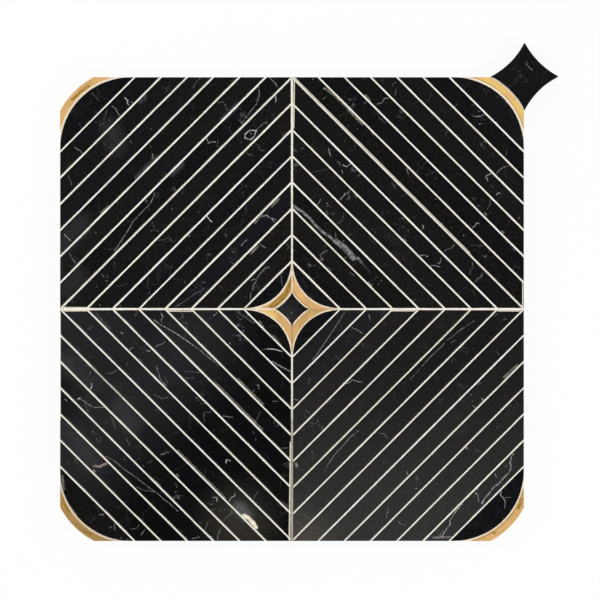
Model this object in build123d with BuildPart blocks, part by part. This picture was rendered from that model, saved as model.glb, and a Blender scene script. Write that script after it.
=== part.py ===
"""Waterjet-cut mosaic sheet: black marble strips laid as nested diamonds, with brass round its stars.

The sheet lies face up on the net that carries it. Its middle is at the origin, the back of the net
is at z = 0, +Z points out of the polished face, and the corner star stands towards +X and +Y.
"""

import os
from math import sqrt

from build123d import *

# Sheet, in millimetres
sheet_side = 300.0          # edge to edge, without the corner star
stone_thickness = 10.0      # marble and brass alike
edge_arris = 0.2            # bevel round the polished face of each stone

# Strips of one quarter, which share the room on each side of its long diagonal evenly
outer_strips = 6            # from the long diagonal to the corner of the sheet
inner_strips = 7            # from the long diagonal to the middle of the sheet
strip_joint = 0.9           # filled gap between two strips
quarter_joint = 1.2         # filled gap between two quarters, and between two sheets once laid

# Rounded ends of each quarter, the brass along them and the stars that they leave
star_radius = 29.6          # rounds off a quarter at the middle of the sheet
star_land = 0.4             # along the quarter's edge, from that rounding to the middle of the last joint
corner_radius = 45.5        # rounds off a quarter at the corner of the sheet
corner_land = 2.7           # along the sheet's edge, from that rounding to the middle of the last joint
star_brass_width = 5.1
corner_brass_width = 5.2
corner_brass_reach = 33.5   # the brass ends this far from the sheet's corner, before it thins to nothing
brass_joint = 0.7           # filled gap on either side of the brass
bow_joint = 0.4             # filled gap between two bows of brass, at a point of the middle star

# Joint filler and net
filler_recess = 0.5         # how far the filler lies below the polished face
net_thickness = 0.5
net_inset = 3.0             # how far the net stays inside the sheet's edge

# Each quarter is a square that is drawn towards +X and +Y and repeated by quarter turns
half_side = sheet_side / 2
half_joint = quarter_joint / 2
quarter_side = half_side - half_joint
quarter_middle = half_joint + quarter_side / 2
quarter_turns = {"ne": 0, "nw": 90, "sw": 180, "se": 270}
bed = Plane.XY.offset(net_thickness)

# A joint of a quarter is the line where x + y has one value. The long diagonal is one of them.
inner_joint = quarter_joint + star_radius + star_land
outer_joint = sheet_side - corner_radius - corner_land
inner_pitch = (half_side - inner_joint) / inner_strips
outer_pitch = (outer_joint - half_side) / outer_strips
joints = [outer_joint - step * outer_pitch for step in range(outer_strips)]
joints += [half_side - step * inner_pitch for step in range(inner_strips + 1)]
half_joint_sum = strip_joint / sqrt(2)

# Centres of the arcs at both ends of a quarter, and the radii of what follows them
star_centre = half_joint + star_radius
star_brass_radius = star_radius + brass_joint
star_brass_rim = star_brass_radius + star_brass_width
star_side_radius = star_brass_rim + brass_joint
corner_centre = half_side - corner_radius
corner_brass_radius = corner_radius + brass_joint
corner_brass_rim = corner_brass_radius + corner_brass_width
corner_side_radius = corner_brass_rim + brass_joint
corner_star_centre = half_side + half_joint

os.makedirs("parts", exist_ok=True)


def quarter_square():
    """Fill a quarter of the sheet, from its joints with the other quarters to the sheet's edges."""
    with Locations((quarter_middle, quarter_middle)):
        Rectangle(quarter_side, quarter_side)


def strip_outline(outer, inner):
    """The strip of a quarter between two of its joints."""
    middle = (outer + inner) / 4
    width = (outer - inner) / sqrt(2) - strip_joint
    with BuildSketch() as outline:
        quarter_square()
        with Locations((middle, middle)):
            Rectangle(width, sheet_side, rotation=45, mode=Mode.INTERSECT)
    return outline.sketch


def corner_waste(radius):
    """What lies outside an arc of this radius at a quarter's outer corner."""
    with BuildSketch() as waste:
        with Locations((half_side, half_side)):
            Rectangle(corner_radius, corner_radius, align=Align.MAX)
        with Locations((corner_centre, corner_centre)):
            Circle(radius, mode=Mode.SUBTRACT)
    return waste.sketch


def corner_stone_outline():
    """The rounded stone at a quarter's outer corner, beyond the last joint."""
    start = (outer_joint + half_joint_sum) / 2
    with BuildSketch() as outline:
        quarter_square()
        with Locations((start, start)):
            Rectangle(
                sheet_side, sheet_side, rotation=45, align=(Align.MIN, Align.CENTER), mode=Mode.INTERSECT
            )
        add(corner_waste(corner_radius), mode=Mode.SUBTRACT)
    return outline.sketch


def star_waste():
    """What lies outside the arc at a quarter's inner corner."""
    with BuildSketch() as waste:
        with Locations((half_joint, half_joint)):
            Rectangle(star_radius, star_radius, align=Align.MIN)
        with Locations((star_centre, star_centre)):
            Circle(star_radius, mode=Mode.SUBTRACT)
    return waste.sketch


def star_stone_outline():
    """The rounded stone beside the middle star, inside the last joint."""
    start = (inner_joint - half_joint_sum) / 2
    with BuildSketch() as outline:
        quarter_square()
        with Locations((start, start)):
            Rectangle(
                sheet_side, sheet_side, rotation=45, align=(Align.MAX, Align.CENTER), mode=Mode.INTERSECT
            )
        add(star_waste(), mode=Mode.SUBTRACT)
    return outline.sketch


def corner_brass_outline():
    """The brass crescent along a quarter's outer corner, blunt at both tips."""
    with BuildSketch() as outline:
        with Locations((half_side, half_side)):
            Rectangle(corner_brass_reach, corner_brass_reach, align=Align.MAX)
        with Locations((corner_centre, corner_centre)):
            Circle(corner_brass_rim, mode=Mode.INTERSECT)
            Circle(corner_brass_radius, mode=Mode.SUBTRACT)
    return outline.sketch


def star_brass_outline():
    """The brass bow along one side of the middle star, held apart from the next by a thin joint."""
    with BuildSketch() as outline:
        with Locations((bow_joint / 2, bow_joint / 2)):
            Rectangle(star_centre, star_centre, align=Align.MIN)
        with Locations((star_centre, star_centre)):
            Circle(star_brass_rim, mode=Mode.INTERSECT)
            Circle(star_brass_radius, mode=Mode.SUBTRACT)
    return outline.sketch


def star_outline(reach, side_radius):
    """A four-pointed star with hollow sides: a square less an arc around each of its corners."""
    with BuildSketch() as outline:
        Rectangle(2 * reach, 2 * reach)
        with GridLocations(2 * reach, 2 * reach, 2, 2):
            Circle(side_radius, mode=Mode.SUBTRACT)
    return outline.sketch


def bevel_face(piece):
    """Take the arris off the edges of a stone's polished face."""
    chamfer(piece.faces().group_by(Axis.Z)[-1].edges(), edge_arris)


def save(piece, name):
    """Name a finished piece and write it."""
    piece.part.label = name
    export_step(piece.part, f"parts/{name}.step")


# Strips, numbered from the sheet's corner to its middle
strips = [strip_outline(outer, inner) for outer, inner in zip(joints, joints[1:])]
for quarter, turn in quarter_turns.items():
    for number, outline in enumerate(strips, start=1):
        with BuildPart() as strip:
            with BuildSketch(bed.rotated((0, 0, turn))):
                add(outline)
            extrude(amount=stone_thickness)
            bevel_face(strip)
        save(strip, f"strip_{quarter}_{number:02d}")

# Rounded stones, four of a kind
corner_stone = corner_stone_outline()
with BuildPart() as corner_stones:
    with BuildSketch(bed):
        with PolarLocations(0, len(quarter_turns)):
            add(corner_stone)
    extrude(amount=stone_thickness)
    bevel_face(corner_stones)
save(corner_stones, "corner_stones")

star_stone = star_stone_outline()
with BuildPart() as star_stones:
    with BuildSketch(bed):
        with PolarLocations(0, len(quarter_turns)):
            add(star_stone)
    extrude(amount=stone_thickness)
    bevel_face(star_stones)
save(star_stones, "star_stones")

# Brass, four of a kind, ground flush with the stone
corner_bow = corner_brass_outline()
with BuildPart() as corner_brass:
    with BuildSketch(bed):
        with PolarLocations(0, len(quarter_turns)):
            add(corner_bow)
    extrude(amount=stone_thickness)
save(corner_brass, "corner_brass")

star_bow = star_brass_outline()
with BuildPart() as star_brass:
    with BuildSketch(bed):
        with PolarLocations(0, len(quarter_turns)):
            add(star_bow)
    extrude(amount=stone_thickness)
save(star_brass, "star_brass")

# Stars: one in the middle, and one where the corners of four laid sheets meet
small_star = star_outline(star_centre, star_side_radius)
with BuildPart() as middle_star:
    with BuildSketch(bed):
        add(small_star)
    extrude(amount=stone_thickness)
    bevel_face(middle_star)
save(middle_star, "middle_star")

large_star = star_outline(corner_radius + half_joint, corner_side_radius)
with BuildPart() as corner_star:
    with BuildSketch(Plane((corner_star_centre, corner_star_centre, net_thickness))):
        add(large_star)
    extrude(amount=stone_thickness)
    bevel_face(corner_star)
save(corner_star, "corner_star")

# Filler: the whole sheet less its pieces, out to the brass, and out to the star at the star's corner
with BuildPart() as joint_filler:
    with BuildSketch(bed):
        Rectangle(sheet_side, sheet_side)
        add(small_star, mode=Mode.SUBTRACT)
        with PolarLocations(0, len(quarter_turns)):
            for outline in (*strips, corner_stone, star_stone, corner_bow, star_bow):
                add(outline, mode=Mode.SUBTRACT)
            add(corner_waste(corner_side_radius), mode=Mode.SUBTRACT)
        with PolarLocations(0, len(quarter_turns) - 1, start_angle=90, angular_range=270):
            add(corner_waste(corner_brass_rim), mode=Mode.SUBTRACT)
    extrude(amount=stone_thickness - filler_recess)
save(joint_filler, "joint_filler")

# Net: clear of the corners that take the stars of other sheets, and whole under this sheet's own star
net_side = sheet_side - 2 * net_inset
brass_rim_reach = corner_centre * sqrt(2) + corner_brass_rim
net_corner_cut = net_side - (brass_rim_reach - net_inset) * sqrt(2)
star_diagonal = Axis((0, 0, 0), (1, 1, 0))
with BuildPart() as backing_net:
    with BuildSketch() as net_outline:
        Rectangle(net_side, net_side)
        chamfer(net_outline.vertices().sort_by(star_diagonal)[:-1], net_corner_cut)
    extrude(amount=net_thickness)
save(backing_net, "backing_net")
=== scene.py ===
"""Looks of a waterjet-cut mosaic sheet of black marble and brass, laid out as a Blender add-on.

The packed stones, brass and filler keep their shape and get their finishes here. The filler's uneven
beads and the woven net are added as meshes. Shapes are worked out in millimetres on the sheet, whose
middle is the origin, and become metres when they are put into a mesh.
"""

from math import pi, radians, sqrt

import bpy
import numpy as np
from bpy.props import FloatProperty, FloatVectorProperty, PointerProperty
from bpy.types import Operator, Panel, PropertyGroup
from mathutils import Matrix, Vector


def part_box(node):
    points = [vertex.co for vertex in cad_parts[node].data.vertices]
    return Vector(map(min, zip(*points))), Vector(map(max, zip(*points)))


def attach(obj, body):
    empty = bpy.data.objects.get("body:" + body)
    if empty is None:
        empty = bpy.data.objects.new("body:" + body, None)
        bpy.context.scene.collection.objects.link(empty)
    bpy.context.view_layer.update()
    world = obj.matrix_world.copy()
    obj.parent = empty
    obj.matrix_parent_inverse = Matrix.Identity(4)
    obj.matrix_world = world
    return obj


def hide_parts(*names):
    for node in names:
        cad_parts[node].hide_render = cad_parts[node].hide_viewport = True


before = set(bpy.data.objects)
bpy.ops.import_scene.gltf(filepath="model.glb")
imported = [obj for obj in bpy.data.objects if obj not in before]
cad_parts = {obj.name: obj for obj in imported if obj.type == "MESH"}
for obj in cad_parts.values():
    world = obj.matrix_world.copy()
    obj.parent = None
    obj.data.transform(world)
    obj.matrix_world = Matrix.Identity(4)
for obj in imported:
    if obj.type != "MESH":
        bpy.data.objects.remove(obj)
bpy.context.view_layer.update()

bl_info = {
    "name": "Waterjet mosaic sheet",
    "version": (1, 0, 0),
    "blender": (4, 5, 0),
    "location": "View3D > Sidebar > Mosaic",
    "description": "Finishes a sheet of marble strips, brass bows and hollow-sided stars",
    "category": "Object",
}

MM = 0.001

# The photograph, in its own pixels: its side, the sheet's middle as its joints give it, and its scale
PHOTO_SIDE = 600
PHOTO_MIDDLE = (292.0, 309.1)
PIXELS_PER_MM = 1.546

# The sheet as packed, in millimetres
HALF_SIDE = -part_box("joint_filler")[0].x / MM
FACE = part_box("middle_star")[1].z / MM
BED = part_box("backing_net")[1].z / MM
NET_SIDE = 2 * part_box("backing_net")[1].x / MM
QUARTERS = ("ne", "nw", "sw", "se")
OUTER_STRIPS = 6
INNER_STRIPS = 7
FILLER_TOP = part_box("joint_filler")[1].z / MM

# Where the stone's marks run, as pixels of the photograph, by quarter of the sheet and kind of mark
MARKS = {
    "ne": {
        "broad_band": [
            [(335.9, 241.3), (343.6, 246.6), (348.9, 252), (353.5, 258.1)],
        ],
        "band": [
            [(293, 205.3), (296.9, 208.4), (303, 212.2), (310.7, 219.1), (316.8, 226.7), (323.7, 232.8)],
            [(323.7, 232.8), (329.8, 236.7), (335.1, 241.3)],
            [(353.5, 258.9), (358.1, 258.1), (361.2, 261.9)],
        ],
        "white": [
            [(368.2, 282.4), (368.6, 282.9)],
        ],
        "bright": [
            [(328.6, 148), (329.4, 152.6), (330.5, 155.7)],
            [(342.8, 164.9), (346.6, 166.8), (350.4, 164.1)],
            [(476.6, 116.7), (481.2, 115.9), (485.7, 114)],
            [(491.1, 173.7), (485.7, 176), (487.3, 179.4), (488, 181.3)],
            [(348.9, 190.8), (348.5, 193.1), (345.1, 193.4), (343.6, 196.1), (340.1, 199.9)],
            [(326.9, 203.2), (327.4, 203.7)],
            [(496.5, 194.6), (498, 193.1), (500.3, 193.4)],
            [(472.7, 227.5), (475, 226.3), (476.2, 223.3), (479.2, 223.3)],
            [(422.2, 225.2), (423.8, 226.7), (422.6, 229)],
            [(419.9, 255.8), (423.8, 255), (427.6, 256.6)],
        ],
        "plain": [
            [(377.2, 104), (381.8, 102.9), (384.5, 98.3), (388.7, 98.3)],
            [(301.2, 148.6), (303.4, 148.3)],
            [(342, 170.2), (342.8, 174)],
            [(312.5, 79), (313.4, 79.4)],
            [(478.1, 111.3), (480.4, 111.7)],
            [(472.7, 115.9), (476.6, 116.7)],
            [(478.9, 124.3), (481.2, 123.6)],
            [(508.7, 166), (502.6, 167.6), (499.5, 170.2), (496.5, 173.3)],
            [(320.6, 199.2), (319.1, 202.6), (316.8, 205.3)],
            [(326.4, 212), (325.6, 212.6)],
            [(378.6, 283.8), (378.2, 284.4)],
            [(519.8, 217.5), (517.9, 219.1)],
            [(435.4, 199), (435.9, 199.4)],
            [(454.4, 244.7), (451.3, 248.5), (448.3, 248.9), (444.4, 251.2)],
            [(441, 258.1), (440.2, 262.7), (437.5, 263.8)],
            [(472.4, 262.7), (472.7, 265.4)],
            [(482.7, 273), (481.2, 276.5), (476.6, 279.5), (475.8, 281.8)],
            [(361.2, 261.9), (365, 266.5)],
            [(337.4, 161.8), (339.7, 163), (340.1, 165.6)],
            [(327.5, 250.4), (322.9, 252.7), (320.2, 255.4), (321, 257.7), (322.9, 259.6), (318.3, 260.4)],
            [(381.2, 280), (381.6, 280.6)],
            [(430.7, 265.7), (434.1, 265.4), (440.2, 266.9)],
            [(463.4, 235.2), (463.8, 235.8)],
            [(406.3, 167.9), (408.6, 174.8)],
            [(343.7, 240.7), (344.2, 241.1)],
        ],
        "faint": [
            [(326, 96.4), (322.9, 99.5)],
            [(344.5, 141), (345, 141.4)],
            [(357, 128.7), (357.6, 129.1)],
            [(379.1, 117.8), (384.9, 122.8)],
            [(506.8, 150.3), (506.4, 154.9)],
            [(435.4, 178.4), (435.9, 178.8)],
            [(325.8, 223), (326.3, 223.6)],
            [(335.5, 232.8), (335.9, 238.2)],
            [(354.8, 231.9), (355.3, 232.4)],
            [(327.5, 267.3), (332.1, 270.3)],
            [(349.7, 272.6), (354.3, 275.7)],
            [(387.4, 212), (387.9, 212.4)],
            [(490.3, 200), (489.6, 205.3), (487.3, 209.1)],
            [(490.1, 212), (490.6, 212.4)],
            [(442.3, 235.7), (442.8, 236.1)],
            [(451, 227.2), (451.6, 227.7)],
            [(461.1, 229.6), (461.6, 230)],
            [(473.5, 267.3), (470.4, 269.6), (470.4, 274.2)],
            [(512.5, 248.9), (514.8, 251.2)],
            [(365, 266.5), (370.3, 272.6)],
            [(396.3, 82.2), (393.3, 83.8), (392.5, 85.3)],
            [(395.6, 89.9), (396, 92.2), (395.2, 95.2)],
            [(383.3, 79.2), (381.8, 81.1)],
            [(471.2, 105.2), (474.3, 104.4)],
            [(490.3, 184.8), (493.4, 187.8)],
            [(343.6, 213.7), (342.8, 218.3), (340.5, 222.1), (337.4, 223.7)],
        ],
        "trace": [
            [(402.3, 96.6), (402.8, 97)],
            [(312.2, 172.1), (328.3, 169.1)],
            [(322.6, 205.9), (323.4, 206.4)],
            [(378.8, 275.7), (371.1, 281.4)],
            [(470.5, 245), (483, 246)],
        ],
        "chipped_edge": [
            [(324.4, 88.4), (332.8, 93.7), (339, 99.8), (346.6, 106.7), (351.2, 112.8), (357.3, 119)],
            [(357.3, 119), (362.5, 124.2)],
            [(371.8, 132), (373.6, 134)],
        ],
        "residue": [
            [(365.7, 95.7), (369.5, 100.2)],
            [(355, 194.8), (356.8, 196.4)],
            [(404.2, 240), (405.6, 241.2)],
            [(484.8, 213.2), (486, 214.4)],
            [(502, 231.5), (503.2, 232.6)],
            [(368.8, 283), (371.5, 285.5)],
        ],
        "film": [
            [(522.8, 281), (522.8, 307)],
            [(294.3, 77.5), (294.1, 100), (293.7, 128)],
        ],
        "seam": [
            [(295.1, 78.1), (470, 253)],
        ],
    },
    "nw": {
        "white": [
            [(255.7, 130.4), (249.6, 130.4), (245, 134.3), (245, 138.1), (250.3, 139.6), (254.2, 136.6)],
            [(254.2, 136.6), (256.5, 129.7)],
            [(275.6, 98), (276.2, 100), (275.6, 102.1)],
            [(241.5, 245.5), (243.8, 242.4)],
            [(207.1, 216.4), (209.4, 219.5), (211.7, 221.8)],
            [(125, 98), (128, 101), (127, 102), (128.5, 105)],
        ],
        "bright": [
            [(206.7, 138.1), (208.3, 143.1), (211.3, 141.9), (214, 141.5), (215.5, 142.3)],
            [(263.3, 216.4), (266.8, 214.9), (268.7, 217.2), (271.8, 218.7), (276, 219.5)],
            [(250.2, 133.2), (251.2, 133.8)],
            [(274.8, 94.5), (276.2, 98)],
            [(64.2, 234.4), (70.7, 240.5)],
            [(271.8, 218.7), (274.1, 221.8)],
        ],
        "plain": [
            [(256.5, 129.7), (261.8, 124.7), (264.9, 122.4), (267.2, 122.8)],
            [(258.4, 85.7), (259.5, 94.5), (256.8, 103.7), (251.1, 110.6), (245.7, 118.2)],
            [(269.5, 76.9), (271.8, 80), (274.8, 82.6), (277.1, 86.8)],
            [(154.9, 192.3), (153.3, 197.7), (149.5, 204.5), (140.3, 213.7), (132.7, 222.1)],
            [(132.7, 222.1), (126.6, 232.8), (120.4, 242), (114.3, 251.2)],
            [(69.6, 253.1), (71.5, 257.3), (75.7, 263.8)],
            [(243.8, 242.4), (247.3, 239.7)],
            [(260.3, 243.6), (262.6, 246.2), (265.6, 247.8)],
            [(269.5, 266.9), (264.9, 268.4), (260.3, 273.4), (256.5, 278.8), (251.1, 280.3)],
            [(256.5, 281), (253.4, 284.9), (252.6, 290.2)],
            [(250.7, 292.5), (250.3, 300.2)],
            [(112, 106), (116, 109), (117, 112), (120, 116)],
            [(131, 102), (133, 103)],
            [(74.5, 147), (78, 150), (79.5, 150), (82, 153)],
            [(96.5, 286.2), (97, 286.8)],
            [(241, 142), (241.3, 142.8)],
            [(95.4, 232.3), (95.9, 232.8)],
            [(172, 208.5), (172.3, 209)],
            [(150.7, 128.8), (151.3, 129.2)],
            [(152.7, 153.8), (152.2, 159)],
            [(99.6, 304.6), (100, 305)],
        ],
        "faint": [
            [(201.4, 76.9), (196, 82.2), (193, 88)],
            [(218.2, 102.9), (222.8, 101.8), (225.1, 104.4), (227, 110.2)],
            [(217.8, 140), (217.4, 146.5)],
            [(254.9, 143.8), (259.1, 145.4), (258.8, 148.8), (260.3, 150.3), (264.1, 150.7)],
            [(247.3, 153), (249.6, 154.9), (253.4, 155.3)],
            [(252.4, 159.6), (252.9, 160.2)],
            [(101.3, 274.2), (104.4, 277.2)],
            [(107.1, 275.7), (107.4, 278)],
            [(105.1, 280.3), (108.2, 281.4)],
            [(106.7, 283.7), (107.8, 284.9)],
            [(151.8, 221.4), (153, 225.2), (154.9, 228.3)],
            [(150.3, 231.3), (154.9, 229.8), (158.7, 231.7)],
            [(158.7, 240.5), (164.8, 239.7), (167.9, 237.4), (172.5, 241.3)],
            [(149.5, 291.8), (149.1, 294)],
            [(184.2, 281.1), (185.7, 283.7)],
            [(175.4, 306.7), (187.6, 299.4), (193, 294.8), (203.7, 288.7)],
            [(107, 110), (105.5, 114), (104, 119)],
            [(68, 175), (72, 185)],
            [(108.7, 119.8), (109.3, 120.2)],
            [(95.7, 121.8), (96.3, 122.2)],
            [(99.7, 123.8), (100.3, 124.2)],
            [(150.7, 146.8), (151.3, 147.2)],
            [(130, 141), (132, 143.5)],
            [(197.4, 212.4), (198.6, 212)],
            [(283, 233.4), (283.4, 233.9)],
            [(207.3, 262.1), (207.8, 262.6)],
            [(119.5, 304.8), (121.2, 307.8)],
        ],
        "trace": [
            [(156.4, 193.8), (158.7, 192.3), (157.9, 196.9), (155.6, 197.7)],
            [(116.6, 286.4), (125, 284.9), (128.1, 282.6)],
            [(148.8, 276.5), (148, 281), (147.2, 287.6), (149.5, 288.7)],
        ],
        "residue": [
            [(101, 213), (105, 209.5), (108, 206.5)],
            [(75.3, 242), (86, 232), (97, 219)],
            [(254.9, 222.9), (261.8, 215.2)],
            [(271.8, 206.1), (278.6, 199.2)],
            [(258, 245.9), (251.1, 253.5)],
            [(188.5, 234.8), (189, 236)],
        ],
        "film": [
            [(64, 307.5), (87, 307.7)],
        ],
        "gleam": [
            [(137, 177.5), (148, 166.5), (157, 157.5)],
            [(172.3, 174), (181.5, 164.1)],
            [(222.8, 119), (236.6, 106)],
            [(140.5, 101), (144.5, 97.5)],
        ],
        "cloud": [
            [(63, 243), (70, 237), (82, 222)],
            [(110, 130), (117, 143.5)],
            [(66, 290), (78, 276)],
        ],
    },
    "sw": {
        "vein": [
            [(271.8, 361.3), (277.1, 364.3), (282.5, 367.4), (290, 371.2)],
            [(225.9, 462.9), (226.6, 459.8), (230.4, 460.6)],
        ],
        "white": [
            [(121.2, 332.6), (122.7, 333.7)],
            [(77.6, 399.1), (80.3, 398)],
            [(91.4, 383.5), (91.8, 386.5), (90.6, 388.8)],
            [(267.2, 349), (272.5, 349), (277.9, 350.2), (282.5, 351.7)],
            [(229.6, 343.2), (230.6, 344.2)],
            [(233.7, 352.5), (234.2, 353.2)],
        ],
        "bright": [
            [(145.7, 350.2), (149.5, 351.3)],
            [(161, 313.1), (162.9, 316.9), (161, 320), (161.8, 322.2)],
            [(253.6, 390.5), (254.1, 391)],
            [(235, 492.7), (235, 495.8), (231.2, 497.3), (228.9, 501.9)],
            [(211, 536.5), (211.6, 537)],
            [(153.7, 319.6), (160.2, 324.5), (168.6, 329.1), (177.7, 334.5), (185.3, 339.8), (193, 345.2)],
            [(213.6, 315.7), (217.1, 312.7)],
            [(213.6, 497.3), (217.4, 497.7), (216.7, 501.5)],
        ],
        "plain": [
            [(193, 345.2), (199.1, 349), (203.7, 353.6), (211.3, 359.7)],
            [(132.7, 347.5), (128.9, 350.2)],
            [(154.9, 347.5), (158.7, 344.8), (162.5, 344), (164.8, 341.4)],
            [(156.4, 366.6), (158.7, 373.5), (160.2, 378.9), (164, 383.5), (167.1, 386.5)],
            [(64.6, 398.8), (66.9, 401)],
            [(223.6, 416), (232.7, 417.5)],
            [(256.5, 385.4), (258.8, 385), (258.8, 388.8)],
            [(105.9, 456.4), (112, 459.5), (117.4, 463.3), (123.5, 469), (131.9, 474.4), (141.1, 481.3)],
            [(141.1, 481.3), (151.8, 489.7), (157.9, 493.5), (163.3, 498.9), (168.6, 502.7), (177.8, 511.1)],
            [(144.9, 529.5), (141.1, 534.8)],
            [(220.5, 529.5), (218.2, 534.1), (217.4, 539.4)],
            [(192.2, 538.6), (199.1, 537.1)],
            [(281.7, 448), (287.8, 448)],
            [(253, 432), (254, 433)],
            [(80.7, 399.5), (85.2, 401.8), (89.1, 404.9), (94.4, 407.5), (100.6, 407.2), (104.4, 407.5)],
            [(161, 454.1), (164, 454.1), (166.4, 452.2), (168.6, 453)],
            [(211, 504), (211.6, 504.5)],
        ],
        "faint": [
            [(96, 313.1), (100.6, 318.4), (105.9, 324.5), (110.5, 328.4)],
            [(114.5, 318.2), (115, 318.7)],
            [(211.3, 359.7), (219, 365.9)],
            [(164.8, 377.3), (167.9, 383.5)],
            [(139.6, 359), (142.6, 362)],
            [(154.1, 394.5), (158.7, 396.5), (161.8, 398.8), (167.9, 397.2)],
            [(106.7, 373.5), (112, 373.1), (116.6, 370.1)],
            [(90.6, 371.2), (89.5, 375.8)],
            [(85.2, 402.6), (86.8, 408.7), (88.3, 411.8)],
            [(111.3, 417.1), (113.6, 423.2), (115.1, 428.6)],
            [(237.3, 312.3), (246.5, 318.4), (254.2, 323.4)],
            [(261.8, 349.8), (267.2, 349)],
            [(185.3, 371.2), (199.1, 372.7)],
            [(185.3, 378.1), (193.7, 378.1)],
            [(272.5, 401.4), (278.6, 401)],
            [(203.1, 394.7), (203.6, 395.1)],
            [(136.5, 487), (144.2, 490.4), (154.9, 492)],
            [(126.6, 439.2), (129.6, 445.3)],
            [(138.6, 450.5), (139, 451)],
            [(143.2, 465.8), (143.7, 466.2)],
            [(208.3, 521), (205.2, 529.5)],
            [(212, 510.5), (215, 508.9)],
            [(67.8, 462.7), (68.3, 463.2)],
            [(204.4, 420.9), (203.7, 416.3), (204.4, 412.5), (211.3, 412.1)],
            [(260.3, 411.8), (258, 417.1), (254.9, 421.7)],
            [(148, 462.9), (151.8, 460.6)],
            [(175.5, 483.6), (177, 487.4)],
            [(130.4, 528.7), (136.5, 528.7), (138.8, 524.9)],
            [(258.8, 491.2), (254.9, 495.8), (253.8, 498.9), (252.6, 500.4)],
            [(255.5, 439), (256, 440.8)],
        ],
        "trace": [
            [(284, 477.4), (288.6, 474.4)],
        ],
        "residue": [
            [(215, 382.6), (262, 429.6)],
            [(238, 379.3), (263, 404.3)],
            [(154.9, 481.3), (159.5, 485.1)],
            [(170.4, 497.8), (173, 498.8)],
            [(178, 451.1), (225, 498.1)],
            [(177.2, 474.7), (178.2, 475.6)],
        ],
        "gleam": [
            [(281, 503), (287, 507)],
        ],
        "cloud": [
            [(65, 430), (82, 447), (92, 462)],
            [(66, 362), (78, 372), (92, 384)],
            [(120, 408), (132, 424)],
        ],
        # Painted reflection: the polished face lighter on the left of this quarter
        "left_painted_reflection": [
            [(62, 480), (120, 405), (160, 360), (190, 335)],
            [(62, 311), (110, 340)],
        ],
        # Painted reflection: a warm, lighter patch of the polished face at the sheet's foot
        "foot_painted_reflection": [
            [(238, 520), (240, 521)],
        ],
        # Painted reflection: the soft grey halo round a lamp's reflection at the sheet's foot
        "glow": [
            [(239, 508), (246, 514)],
        ],
        "tan": [
            [(94.4, 466), (99.8, 466.7), (105.9, 463.7)],
            [(93.7, 470.6), (94.2, 471)],
        ],
        # Painted reflection: the bright warm spot of a lamp's reflection, not a mended hole
        "fill": [
            [(244.3, 515.7), (248.5, 518.3), (252.8, 522.6), (256, 527)],
        ],
        "film": [
            [(60.1, 313), (60.1, 420)],
            [(290.4, 442), (290, 480), (289.6, 510), (289.2, 540)],
            [(64, 310.8), (87, 310.8)],
            [(168, 311), (192, 311.2)],
        ],
        "smear": [
            [(291, 450), (290.7, 500), (290.4, 540)],
        ],
    },
    "se": {
        "vein": [
            [(511.4, 456.8), (510.2, 462.1), (511, 468.3), (508.7, 472.8), (504.9, 476.7), (499.5, 482.8)],
            [(499.5, 482.8), (494.2, 486.6), (489.6, 492.7), (485, 498.1), (481.9, 503.5)],
        ],
        "white": [
            [(475.6, 493.3), (476.1, 493.8)],
        ],
        "bright": [
            [(406.7, 471.3), (407.8, 474.4)],
            [(462, 504.2), (455.9, 511.1), (452.8, 515.7), (449.8, 521), (450.2, 524.1), (446.7, 528.7)],
            [(446.7, 528.7), (441.8, 536.7)],
        ],
        "plain": [
            [(344.7, 311.9), (339, 321.5), (331.3, 333), (323.7, 344.4), (317.5, 353.6), (313, 359.7)],
            [(352, 327.6), (356.6, 329.5), (362.3, 333.3)],
            [(368.8, 314.6), (370.3, 319.9)],
            [(345.1, 383.8), (349.7, 382.3)],
            [(294.6, 399.5), (298.4, 400.3)],
            [(464.3, 327.2), (457.4, 332.2)],
            [(444.4, 343.3), (441.8, 346.3), (433, 354.4), (427.6, 359.7), (422.2, 366.2)],
            [(472.7, 405.6), (475, 407.2)],
            [(358.1, 430.8), (349.7, 437.7), (342, 446.8), (335.9, 453), (330.6, 460.6), (328.3, 463.7)],
            [(388.7, 507.3), (387.2, 512.6), (386.4, 517.2)],
            [(494.9, 473.6), (496.5, 477.4)],
            [(478.1, 493.5), (478.1, 498.9), (478.9, 501.9)],
            [(349.7, 382.3), (352.4, 380), (357.3, 381.5), (362.7, 382.3)],
            [(495, 316.5), (497, 313.8)],
            [(300.1, 437.5), (300.5, 438)],
            [(415, 488.3), (417, 488.7)],
        ],
        "faint": [
            [(383.7, 322.6), (384.9, 324.5)],
            [(363.5, 343.5), (362.8, 345.5)],
            [(348.7, 341.2), (349.2, 341.6)],
            [(309.9, 378.1), (308.4, 383.5)],
            [(296, 416.9), (296.4, 417.4)],
            [(322.7, 394), (323.2, 394.4)],
            [(474.3, 320.7), (464.3, 327.2)],
            [(457.4, 332.2), (451.3, 337.5), (446.7, 340.6)],
            [(420, 369), (410, 379.6)],
            [(451.3, 342.9), (455.1, 339.8)],
            [(503.3, 320.3), (505, 318.8), (508, 319.8)],
            [(470.4, 394.2), (472, 395.7)],
            [(472.3, 399.5), (472.3, 401.8)],
            [(510.8, 405.8), (511.3, 406.2)],
            [(497, 351.8), (498.8, 354.4)],
            [(328.3, 463.7), (324.4, 471.3)],
            [(298.4, 514.5), (305.3, 514.5), (306.8, 517.6), (309.1, 518)],
            [(397.9, 521), (400.2, 523.7), (405.5, 524.9)],
            [(380.3, 433.4), (384.9, 433.8), (386.4, 437.3), (388.7, 437.7)],
            [(504.1, 466), (507.9, 466.3)],
            [(475, 452.2), (476.6, 449.9), (478.9, 451.4)],
        ],
        "residue": [
            [(504.1, 377.3), (517.1, 365.1)],
            [(512, 453.4), (513.2, 454.4)],
            [(476.2, 488), (477.2, 488.6)],
            [(482.2, 399.3), (483.2, 400)],
            [(466.2, 447.8), (467.2, 448.4)],
            [(433, 537.5), (451.3, 537.2)],
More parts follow.
